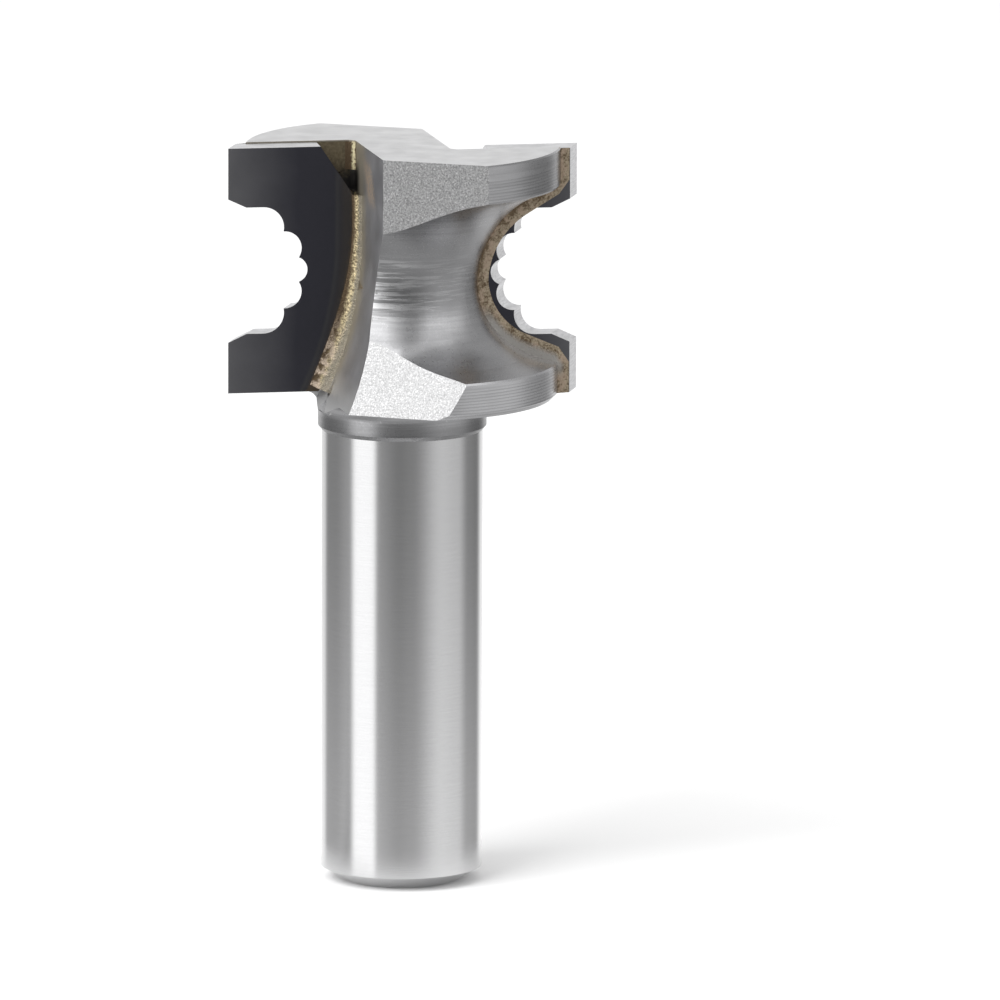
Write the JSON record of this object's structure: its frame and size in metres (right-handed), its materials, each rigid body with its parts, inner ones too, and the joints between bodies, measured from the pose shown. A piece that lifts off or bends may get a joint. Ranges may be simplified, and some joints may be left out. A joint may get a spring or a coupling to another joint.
{
  "type": "router bit",
  "caption": "Router bit with a straight shank and a turned steel head, its brazed carbide tips ground to a reeded bull-nose profile.",
  "frame": {"origin": "centre of the shank's end face, on the axis of rotation", "axes": "+Z along the axis of rotation from the shank end up to the head; the left tip's rake face looks towards -Y"},
  "size_m": [0.0276, 0.0242, 0.0587],
  "materials": {
    "steel": "ground shank, turned head, grit-blasted flats and smooth milled gullets",
    "carbide": "near-black lapped rake face with light ground relief surfaces",
    "braze": "granular golden filler metal with a brown oxide border"
  },
  "bodies": {
    "root": {"body_and_shank": "steel", "cutting_tip_left": "carbide", "cutting_tip_right": "carbide", "braze_joint_left": "braze", "braze_joint_right": "braze"}
  },
  "joints": []
}
